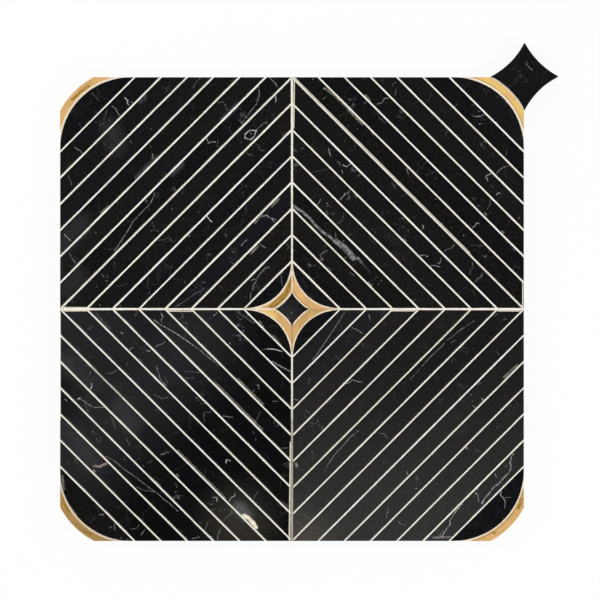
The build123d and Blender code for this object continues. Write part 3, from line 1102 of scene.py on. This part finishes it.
def brass(
    name, look, centre, inner_radius, width, tones, painted_shade_dulls, scored, painted_shade_lines, painted_shade_reach, glints, films
):
    """Ground brass: fine lines run with the bow, at one distance from its centre, over a patchy tone.

    Each quarter's bow has its own tone, painted lighter or darker by how it catches the light, and its own
    reach of filler wiped over its inner and outer edge.
    Those on the right are hatched across and have one scored line, a share of the width out.
    """
    material, nodes = new_finish(name)
    place, facing = nodes.on_object()
    x, y, z = nodes.parts(place)
    side = nodes.rise(nodes.parts(facing)[2], 0.8, 0.4)
    across = abs(x) - centre
    along = abs(y) - centre
    radius = nodes.math("SQRT", across * across + along * along)
    girth = nodes.math("ARCTAN2", along, across) * inner_radius
    out = radius - inner_radius
    right = x > 0
    flat = nodes.shaken(nodes.joined(x, y, 0.0), 2.5, 0.8)

    # Tone of each bow, painted lighter or darker by quarter by how it catches the light, with the hatch and
    # the painted glints
    patch = nodes.noise(place, 7.0, 3.0)
    hatch = nodes.noise(nodes.joined(radius * 0.12, girth * 1.1, 5.0), 1.0, 2.0)
    tone = nodes.by_quarter(x, y, tones) + 0.5 * (patch - 0.5) + 0.35 * (hatch - 0.5) * right
    shine = nodes.rise(nodes.lines_gap(flat, glints), 3.2, 0.3)
    colour = nodes.mix(shine * 0.8, nodes.scaled(look.bright, tone), look.glint)

    # Tarnish streaked along the bow, with painted shade: the dark lines and each quarter's darkening stand
    # for where the brass reflects dark
    grind = nodes.noise(nodes.joined(radius * 7.0, girth * 0.16, z * 0.4), 1.0, 3.0)
    streak = nodes.noise(nodes.joined(radius * 1.6, girth * 0.22, z), 1.0, 3.0)
    tarnish_and_shade = nodes.rise(nodes.lines_gap(flat, painted_shade_lines), painted_shade_reach, painted_shade_reach * 0.55)
    tarnish_and_shade = tarnish_and_shade * (0.45 + 0.6 * nodes.rise(streak, 0.34, 0.62))
    line = nodes.rise(abs(out / width - scored), 0.10, 0.03) * right * nodes.rise(patch, 0.25, 0.50)
    tarnish_and_shade = nodes.math("MAXIMUM", tarnish_and_shade, line * 0.65)
    tarnish_and_shade = nodes.math("MAXIMUM", tarnish_and_shade, nodes.by_quarter(x, y, painted_shade_dulls))
    tarnish_and_shade = nodes.held(tarnish_and_shade + (grind - 0.5) * 0.35)
    colour = nodes.mix(tarnish_and_shade, colour, look.tarnish_and_shade)
    colour = nodes.mix(side * 0.45, colour, look.tarnish_and_shade)

    # Filler wiped over the edges, and over the ends at the star's upper and left points
    ragged = 0.4 * (nodes.noise(place, 2.2, 2.0) - 0.5)
    film = nodes.covered(nodes.by_quarter(x, y, films["inner"]) - out + ragged)
    film = film + nodes.covered(nodes.by_quarter(x, y, films["outer"]) - (width - out) + ragged)
    film = film + nodes.covered(films["left"] - abs(y) + ragged) * (x < 0)
    film = film + nodes.covered(films["top"] - abs(x) + ragged) * (y > 0)
    film = nodes.held(film) * (1 - side)
    colour = nodes.mix(film * 0.92, colour, look.wiped)
    roughness = nodes.held(look.satin + 0.20 * (grind - 0.5) + 0.12 * side + 0.25 * film)
    height = (1 - side) * grind * 0.25 + side * jet_lines(nodes, place)
    normal = nodes.add("Bump", None, {"Strength": 0.3, "Distance": 0.1 * MM, "Height": height})
    nodes.finished(colour, roughness, normal, {"Metallic": 1 - film})
    return material


def filler(name, look, sizes):
    """Cream cement filler: sandy, with dust taken up here and there and open pores.

    Each strip's joint dried to a white of its own. The upper long diagonals and the lower arm took up more
    dust than the rest. Filler beside the brass took up what came off it, and so did the right and lower
    gaps between the bows. |x| + |y| tells how far out a joint lies.
    """
    material, nodes = new_finish(name)
    place, _ = nodes.on_object()
    x, y, _ = nodes.parts(place)
    total = abs(x) + abs(y)
    nearer = nodes.math("MINIMUM", abs(x), abs(y))

    count = (total - sizes["inner_joint"]) / sizes["inner_pitch"]
    joint = nodes.math("ROUND", count)
    lot = nodes.chance(nodes.joined(joint, nodes.math("SIGN", x), nodes.math("SIGN", y)))
    on_strip = (abs(count - joint) < IN_STRIP_JOINT) * nodes.rise(nearer, *OFF_ARM)
    colour = nodes.mix(lot * on_strip, look.cream, look.chalk)

    # Dust and pores
    sand = nodes.noise(place, 0.35, 3.0)
    diagonal = nodes.rise(abs(total - HALF_SIDE), *IN_DIAGONAL) * (y > 0)
    lower_arm = nodes.rise(abs(x), *IN_ARM) * nodes.rise(y, *DOWN_LOWER_ARM)
    star_rim = nodes.rise(total, *NEAR_CORNER_STAR)
    near_star = nodes.rise(total, *NEAR_STAR)
    near_corner = nodes.rise(total, *NEAR_CORNER)
    lower_left = (x < 0) * (y < 0)
    grey = nodes.rise(nodes.lines_gap(nodes.joined(x, y, 0.0), GREY_JOINT), *IN_GREY_JOINT)
    worn = 0.22 * diagonal + 0.85 * lower_arm + 0.5 * star_rim + 0.45 * near_corner * lower_left + 0.6 * grey
    worn = worn * nodes.rise(nodes.noise(place, 3.0, 3.0), 0.05, 0.40)
    dusty = worn + 0.33 * nodes.rise(nodes.noise(place, 11.0, 3.0), 0.50, 0.78)
    dusty = dusty + 0.15 * nodes.rise(sand, 0.50, 0.75)
    pores = nodes.rise(nodes.dots(place, 1.3), 0.20, 0.08)
    pores = pores * nodes.rise(nodes.noise(place, 4.0, 1.0), 0.5, 0.7)
    colour = nodes.mix(nodes.held(dusty + pores * 0.4), colour, look.shade)

    # Brass and polishing dirt
    tint = near_star * nodes.by_quarter(x, y, STAR_TINTS)
    tint = tint + near_corner * nodes.by_quarter(x, y, CORNER_TINTS)
    colour = nodes.mix(tint, colour, look.brass_dust)
    gap = nodes.rise(nearer, *IN_BOW_GAP) * nodes.rise(total, *BETWEEN_BOWS)
    colour = nodes.mix(gap * (x > 1) * 0.9, colour, look.brass_dust)
    colour = nodes.mix(gap * (0.8 * (y < -1) + 0.35 * (x > 1)), colour, look.grime)
    roughness = 0.80 + 0.15 * sand
    normal = nodes.add("Bump", None, {"Strength": 0.4, "Distance": 0.15 * MM, "Height": sand - pores})
    nodes.finished(colour, roughness, normal)
    return material


def glass_thread(name, look):
    """Coated glass thread: fine fibres run along it, by the thread's own map of length and girth."""
    material, nodes = new_finish(name)
    length, girth, _ = nodes.parts(nodes.add("TexCoord", None, None, "UV"))
    fibre = nodes.noise(nodes.joined(length * 6.0, girth * 26.0, 0.0), 1.0, 3.0)
    coat = nodes.noise(nodes.joined(length * 90.0, girth * 2.0, 3.0), 1.0, 2.0)
    shaded = [0.55 * part for part in look.glass]
    colour = nodes.mix(nodes.rise(fibre, 0.30, 0.70) * 0.55, look.glass, shaded)
    roughness = 0.35 + 0.35 * coat
    height = fibre + 0.5 * coat
    normal = nodes.add("Bump", None, {"Strength": 0.5, "Distance": 0.05 * MM, "Height": height})
    nodes.finished(colour, roughness, normal)
    return material


def waver(along, lengths, rng):
    """A smooth wandering from -1 to 1: the mean of sine waves of several lengths with chance starts."""
    lengths = np.asarray(lengths)
    starts = rng.uniform(0, 2 * pi, len(lengths))
    return np.sin(2 * pi * along[:, None] / lengths + starts).mean(axis=1)


def carried(section):
    """Faces of a closed section carried along a path, one ring for each row, with a cap at both ends."""
    rings, points = section.shape[:2]
    number = np.arange(rings * points).reshape(rings, points)
    here, there = number[:-1], number[1:]
    following_here, following_there = np.roll(here, -1, axis=1), np.roll(there, -1, axis=1)
    sides = np.stack([here, there, following_there, following_here], axis=-1).reshape(-1, 4)
    return sides, [number[0], number[-1][::-1]]


def new_piece(name, sections, finish, maps=None):
    """One mesh of all sections, given in millimetres, that rides on the sheet and takes a slot's finish."""
    faces = []
    first = 0
    for section in sections:
        sides, caps = carried(section)
        faces += (sides + first).tolist() + [(cap + first).tolist() for cap in caps]
        first += section.shape[0] * section.shape[1]
    corners = np.concatenate([section.reshape(-1, 3) for section in sections]) * MM
    mesh = bpy.data.meshes.new(name)
    mesh.from_pydata(corners, [], faces)
    mesh.polygons.foreach_set("use_smooth", np.ones(len(mesh.polygons), bool))
    if maps is not None:
        vertex = np.empty(len(mesh.loops), np.int32)
        mesh.loops.foreach_get("vertex_index", vertex)
        mesh.uv_layers.new(name="thread").data.foreach_set("uv", maps[vertex].ravel())
    mesh.materials.append(finish)
    mesh.update()
    piece = bpy.data.objects.new(name, mesh)
    bpy.context.scene.collection.objects.link(piece)
    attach(piece, "root")
    return piece


def bead(points, left, right, sizes, dip, rng):
    """A bead of filler along a path, which fills the gap and rides up the stones' bevels on both sides.

    Each side has its half gap, 1 if a bevelled stone is there, and the share of the bevel that the filler
    covers on the whole. Across the joint, with t from -1 at the right edge to 1 at the left one, the top
    lies on the line between both edges less dip * (1 - t squared). Two more points close the section
    inside the filler.
    """
    step = np.gradient(points, axis=0)
    step /= np.linalg.norm(step, axis=1)[:, None]
    to_left = np.stack([-step[:, 1], step[:, 0]], axis=1)
    along = np.concatenate([[0], np.cumsum(np.linalg.norm(np.diff(points, axis=0), axis=1))])
    arris = sizes["edge_arris"]
    even = np.ones(len(points))
    left_gap, right_gap = left[0] * even, right[0] * even

    def edge(gap, bevelled, spread):
        uneven = spread + CLIMB_SWAY * waver(along, CLIMB_WAVES, rng)
        climb = arris * np.clip(uneven, *CLIMB_LIMITS) * bevelled
        flush = FLUSH_DEPTH + FLUSH_SWAY * waver(along, FLUSH_WAVES, rng)
        level = np.where(bevelled * even > 0, FACE - arris + climb, FACE - flush) - BEAD_SUNK
        return gap + climb + BEAD_SUNK, level

    left_reach, left_level = edge(left_gap, *left[1:])
    right_reach, right_level = edge(right_gap, *right[1:])
    t = np.linspace(-1, 1, BEAD_POINTS)
    share = (t + 1) / 2
    offset = -right_reach[:, None] * (1 - share) + left_reach[:, None] * share
    uneven = dip * (1.0 + DIP_SWAY * waver(along, DIP_WAVES, rng))
    top = right_level[:, None] * (1 - share) + left_level[:, None] * share - uneven[:, None] * (1 - t**2)
    root = np.full((len(points), 1), FILLER_TOP - BEAD_ROOT)
    foot = [ROOT_SHARE * left_gap[:, None], -ROOT_SHARE * right_gap[:, None]]
    offset = np.concatenate([offset, *foot], axis=1)
    level = np.concatenate([top, root, root], axis=1)
    flat = points[:, None, :] + offset[:, :, None] * to_left[:, None, :]
    flat = np.clip(flat, -HALF_SIDE, HALF_SIDE)
    return np.concatenate([flat, level[:, :, None]], axis=2)


def turned(points, quarter):
    """Points of the first quarter turned to another one, by quarter turns about the sheet's middle."""
    x, y = points.T
    return np.stack([(x, y), (-y, x), (-x, -y), (y, -x)][QUARTERS.index(quarter)], axis=1)


def joint_beads(sizes, dip):
    """Beads for every joint: straight ones where x + y is constant, arms along the axes, and arcs."""
    rng = np.random.default_rng(BEAD_SEED)
    strip_gap = sizes["strip_joint"] / 2
    brass_gap = sizes["brass_joint"] / 2
    bow_gap = sizes["bow_joint"] / 2
    inner = HALF_SIDE - np.arange(INNER_STRIPS + 1) * sizes["inner_pitch"]
    outer = HALF_SIDE + np.arange(1, OUTER_STRIPS + 1) * sizes["outer_pitch"]
    paths = []

    def straight(total):
        low = max(CLEAR_OF_AXIS, total - HALF_SIDE - PAST_EDGE)
        high = min(total - CLEAR_OF_AXIS, HALF_SIDE + PAST_EDGE)
        x = np.linspace(low, high, max(4, int((high - low) * sqrt(2) / BEAD_PACE)))
        return np.stack([x, total - x], axis=1)

    def arc(centre, radius, start, end):
        steps = int(radius * radians(abs(end - start)) / BEAD_PACE)
        turn = np.linspace(radians(start), radians(end), steps)
        return centre + radius * np.stack([np.cos(turn), np.sin(turn)], axis=1)

    def add(points, left, right):
        paths.append(bead(points, left, right, sizes, dip, rng))

    star, corner = sizes["star_centre"], sizes["corner_centre"]
    star_stone, corner_stone = sizes["star_radius"], sizes["corner_radius"]
    star_rim = star_stone + 2 * brass_gap + sizes["star_brass_width"]
    corner_rim = corner_stone + 2 * brass_gap + sizes["corner_brass_width"]
    brass_tip = star - sqrt((star_stone + 2 * brass_gap) ** 2 - (star - bow_gap) ** 2)
    star_tip = star - sqrt((star_rim + 2 * brass_gap) ** 2 - star**2)
    brass_side = (brass_gap, 0, 0)
    stone_side, star_side = (brass_gap, 1, STONE_SPREAD), (brass_gap, 1, STAR_SPREAD)
    for quarter in QUARTERS:
        for total in (*inner, *outer):
            outward, inward = np.add(SPREADS[quarter], rng.normal(0, SPREAD_CHANCE))
            if total == HALF_SIDE and quarter in ("ne", "nw"):
                outward, inward = UPPER_DIAGONAL_SPREAD
            add(turned(straight(total), quarter), (strip_gap, 1, outward), (strip_gap, 1, inward))
        add(turned(arc(star, star_stone + brass_gap, *STAR_STONE_ARC), quarter), stone_side, brass_side)
        add(turned(arc(star, star_rim + brass_gap, *STAR_SIDE_ARC), quarter), brass_side, star_side)
        add(turned(arc(corner, corner_stone + brass_gap, *CORNER_STONE_ARC), quarter), stone_side, brass_side)

        # An arm widens from the brass to the stones' roundings and ends at the sheet's edge
        out = np.arange(star_tip, HALF_SIDE, BEAD_PACE)
        rounding = star - np.sqrt(np.maximum(star_stone**2 - (star - out) ** 2, 0))
        gap = np.where(out < star, rounding, sizes["quarter_joint"] / 2)
        gap = np.where(out < brass_tip, bow_gap, gap)
        stones = (out >= brass_tip).astype(float)
        arm = np.stack([np.zeros(len(out)), out], axis=1)
        arm_side = (gap, stones, out / HALF_SIDE + ARM_SPREAD)
        add(turned(arm, quarter), arm_side, arm_side)
    add(arc(corner, corner_rim + brass_gap, *CORNER_STAR_ARC), brass_side, star_side)
    return paths


def net_corner_cut():
    """How much of the net's corner is cut off along each edge, read from the packed net's own corners."""
    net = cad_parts["backing_net"].data
    corners = np.empty(len(net.vertices) * 3)
    net.vertices.foreach_get("co", corners)
    x, y, _ = corners.reshape(-1, 3).T / MM
    on_left = y[np.isclose(x, x.min(), atol=0.01)]
    return NET_SIDE / 2 - on_left.max()


def net_threads(pitch, width):
    """Threads that cross over and under: the middle of each is a cosine wave with its crests at crossings.

    The section is a flat hexagon. Threads end at the net's edge, or at the cut of the three corners that
    take the stars of other sheets.
    """
    half = NET_SIDE / 2
    cut = net_corner_cut()
    lift, thickness = BED * THREAD_SWAY, BED * THREAD_THICKNESS
    count = int(half / pitch)
    lines = np.arange(-count, count + 1) * pitch
    steps = np.linspace(0, 1, int(2 * NET_SIDE / pitch) + 1)
    ring = np.array(THREAD_SECTION)
    corners = len(ring)
    short = np.minimum(half, 2 * half - cut - np.abs(lines))
    low, high = -short, np.where(lines > 0, half, short)
    parity = np.where(np.arange(len(lines)) % 2, -1.0, 1.0)
    threads, maps = [], []
    for along_x in (True, False):
        run = low[:, None] + (high - low)[:, None] * steps
        wave = parity[:, None] * np.cos(pi * run / pitch) * (1 if along_x else -1)
        level = BED / 2 + lift * wave
        side = np.broadcast_to(lines[:, None, None], (*run.shape, corners)) + ring[:, 0] * width
        rise = level[:, :, None] + ring[:, 1] * thickness
        run = np.broadcast_to(run[:, :, None], side.shape)
        # A thread along y has its section mirrored, so that its faces point outwards too
        axes = (run, side, rise) if along_x else (side[:, :, ::-1], run, rise[:, :, ::-1])
        threads += list(np.stack(axes, axis=-1))
        girth = np.broadcast_to(np.linspace(0, 1, corners), side.shape)
        maps.append(np.stack([run * MAP_SCALE, girth], axis=-1).reshape(-1, 2))
    return threads, np.concatenate(maps)


def seen_ray(nodes):
    """1 for a ray from the eye, straight or by way of gloss or glass."""
    kinds = ("Is Camera Ray", "Is Glossy Ray", "Is Transmission Ray")
    straight, gloss, glass = (nodes.add("LightPath", None, None, kind) for kind in kinds)
    return nodes.held(straight + gloss + glass)


def give_finish(name, finish):
    """Put a material in every slot of a packed node."""
    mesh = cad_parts[name].data
    if not mesh.materials:
        raise RuntimeError(f"{name} has no material slot")
    for slot in range(len(mesh.materials)):
        mesh.materials[slot] = finish


class MOSAIC_OT_set_stage(Operator):
    """Set the floor, the soft lamps, the room and the camera above the sheet"""

    bl_idname = "mosaic.set_stage"
    bl_label = "Set the stage"

    def execute(self, context):
        scene = context.scene
        stage = scene.mosaic_stage
        scene.view_settings.view_transform = "Standard"
        self.lay_floor(scene, stage)
        self.light_room(scene, stage)
        self.hang_lamps(scene, stage)
        self.place_camera(scene, stage)
        return {"FINISHED"}

    def lay_floor(self, scene, stage):
        """A level square under the net, white to the eye and grey where the sheet shades it."""
        half = stage.floor_side / 2
        level = -stage.floor_drop
        mesh = bpy.data.meshes.new("floor")
        corners = [(-half, -half, level), (half, -half, level), (half, half, level), (-half, half, level)]
        mesh.from_pydata(corners, [], [(0, 1, 2, 3)])
        material, nodes = new_finish("white_floor")
        paper = nodes.noise(nodes.on_object()[0], 40.0, 2.0)
        colour = nodes.mix(paper, *FLOOR_TONES)
        lit = nodes.add("BsdfDiffuse", None, {"Color": colour})
        white = nodes.add("Emission", None, {"Color": WHITE, "Strength": 1.0})
        nodes.surface(nodes.add("MixShader", None, {0: seen_ray(nodes) * FLOOR_WHITE, 1: lit, 2: white}))
        mesh.materials.append(material)
        floor = bpy.data.objects.new("floor", mesh)
        scene.collection.objects.link(floor)

    def light_room(self, scene, stage):
        """White to the eye, and in reflections up to where the walls meet the dark ceiling."""
        scene.world = bpy.data.worlds.new("studio")
        nodes = Nodes(scene.world)
        up = nodes.parts(nodes.add("TexCoord", None, None, "Generated"))[2]
        ceiling = nodes.rise(up, *CEILING_EDGE)
        room = stage.room_light + (stage.ceiling_light - stage.room_light) * ceiling
        camera_ray = nodes.add("LightPath", None, None, "Is Camera Ray")
        strength = room * (1 - camera_ray) + camera_ray
        background = nodes.add("Background", None, {"Color": WHITE, "Strength": strength})
        nodes.add("OutputWorld", None, {"Surface": background})

    def hang_lamps(self, scene, stage):
        """Two square soft lamps that face the sheet from either side, out of its mirror's view."""
        for name, spot in LAMPS.items():
            light = bpy.data.lights.new(name, "AREA")
            light.energy = stage.lamp_power
            light.size = stage.lamp_side
            lamp = bpy.data.objects.new(name, light)
            lamp.location = spot
            lamp.rotation_mode = "QUATERNION"
            lamp.rotation_quaternion = lamp.location.to_track_quat("Z", "Y")
            scene.collection.objects.link(lamp)

    def place_camera(self, scene, stage):
        """Straight above, so that the joints fall where the photograph has them."""
        data = bpy.data.cameras.new("camera")
        data.sensor_width = SENSOR_WIDTH
        data.lens = data.sensor_width * stage.camera_height / (PHOTO_SIDE / PIXELS_PER_MM * MM)
        camera = bpy.data.objects.new("camera", data)
        across, up = from_photo(PHOTO_SIDE / 2, PHOTO_SIDE / 2)
        camera.location = (across * MM, up * MM, FACE * MM + stage.camera_height)
        scene.collection.objects.link(camera)
        scene.camera = camera


class MOSAIC_OT_polish_marble(Operator):
    """Give the strips, the rounded stones and the stars their polished black marble"""

    bl_idname = "mosaic.polish_marble"
    bl_label = "Polish the marble"

    def execute(self, context):
        look = context.scene.mosaic_marble
        sizes = layout_in_mm(context)
        for quarter, stone in QUARTER_STONE.items():
            finish = marble(f"marble_{quarter}", look, sizes, MARKS[quarter], **stone)
            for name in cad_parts:
                if name.startswith(f"strip_{quarter}_"):
                    give_finish(name, finish)
        finish = marble("marble_ends", look, sizes, MARKS["ends"], **END_STONE)
        for name in ("corner_stones", "star_stones", "middle_star", "corner_star"):
            give_finish(name, finish)
        return {"FINISHED"}


class MOSAIC_OT_grind_brass(Operator):
    """Give the bows round the star and the crescents at the corners their ground brass"""

    bl_idname = "mosaic.grind_brass"
    bl_label = "Grind the brass"

    def execute(self, context):
        look = context.scene.mosaic_brass
        sizes = layout_in_mm(context)
        gap = sizes["brass_joint"]
        star_edge, corner_edge = sizes["star_radius"] + gap, sizes["corner_radius"] + gap
        star_width, corner_width = sizes["star_brass_width"], sizes["corner_brass_width"]
        bows = brass("brass_star", look, sizes["star_centre"], star_edge, star_width, **BOWS)
        crescents = brass(
            "brass_corner", look, sizes["corner_centre"], corner_edge, corner_width, **CRESCENTS
        )
        give_finish("star_brass", bows)
        give_finish("corner_brass", crescents)
        return {"FINISHED"}


class MOSAIC_OT_fill_joints(Operator):
    """Give the filler its cream cement and lay its uneven beads along every joint"""

    bl_idname = "mosaic.fill_joints"
    bl_label = "Fill the joints"

    def execute(self, context):
        look = context.scene.mosaic_filler
        sizes = layout_in_mm(context)
        finish = filler("cream_filler", look, sizes)
        give_finish("joint_filler", finish)
        new_piece("joint_beads", joint_beads(sizes, look.meniscus / MM), finish)
        return {"FINISHED"}


class MOSAIC_OT_weave_net(Operator):
    """Weave the glass net that carries the stones"""

    bl_idname = "mosaic.weave_net"
    bl_label = "Weave the net"

    def execute(self, context):
        look = context.scene.mosaic_net
        threads, maps = net_threads(look.pitch / MM, look.thread_width / MM)
        net = new_piece("woven_net", threads, glass_thread("glass_thread", look), maps)
        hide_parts("backing_net")
        return {"FINISHED"}


OPERATORS = (
    MOSAIC_OT_set_stage,
    MOSAIC_OT_polish_marble,
    MOSAIC_OT_grind_brass,
    MOSAIC_OT_fill_joints,
    MOSAIC_OT_weave_net,
)


class MOSAIC_PT_sheet(Panel):
    """The steps that finish the sheet"""

    bl_idname = "MOSAIC_PT_sheet"
    bl_label = "Mosaic sheet"
    bl_space_type = "VIEW_3D"
    bl_region_type = "UI"
    bl_category = "Mosaic"

    def draw(self, context):
        for operator in OPERATORS:
            self.layout.operator(operator.bl_idname)
        for name, group in GROUPS.items():
            box = self.layout.box()
            box.label(text=group.__doc__.rstrip("."))
            for setting in group.__annotations__:
                box.prop(getattr(context.scene, name), setting)


GROUPS = {
    "mosaic_layout": SheetLayout,
    "mosaic_stage": StageSettings,
    "mosaic_marble": MarbleFinish,
    "mosaic_brass": BrassFinish,
    "mosaic_filler": FillerFinish,
    "mosaic_net": NetFinish,
}
CLASSES = (*GROUPS.values(), *OPERATORS, MOSAIC_PT_sheet)


def register():
    for cls in CLASSES:
        bpy.utils.register_class(cls)
    for name, group in GROUPS.items():
        setattr(bpy.types.Scene, name, PointerProperty(type=group))


def unregister():
    for name in GROUPS:
        delattr(bpy.types.Scene, name)
    for cls in reversed(CLASSES):
        bpy.utils.unregister_class(cls)


def main():
    register()
    bpy.ops.mosaic.set_stage()
    bpy.ops.mosaic.polish_marble()
    bpy.ops.mosaic.grind_brass()
    bpy.ops.mosaic.fill_joints()
    bpy.ops.mosaic.weave_net()


if __name__ == "__main__":
    main()
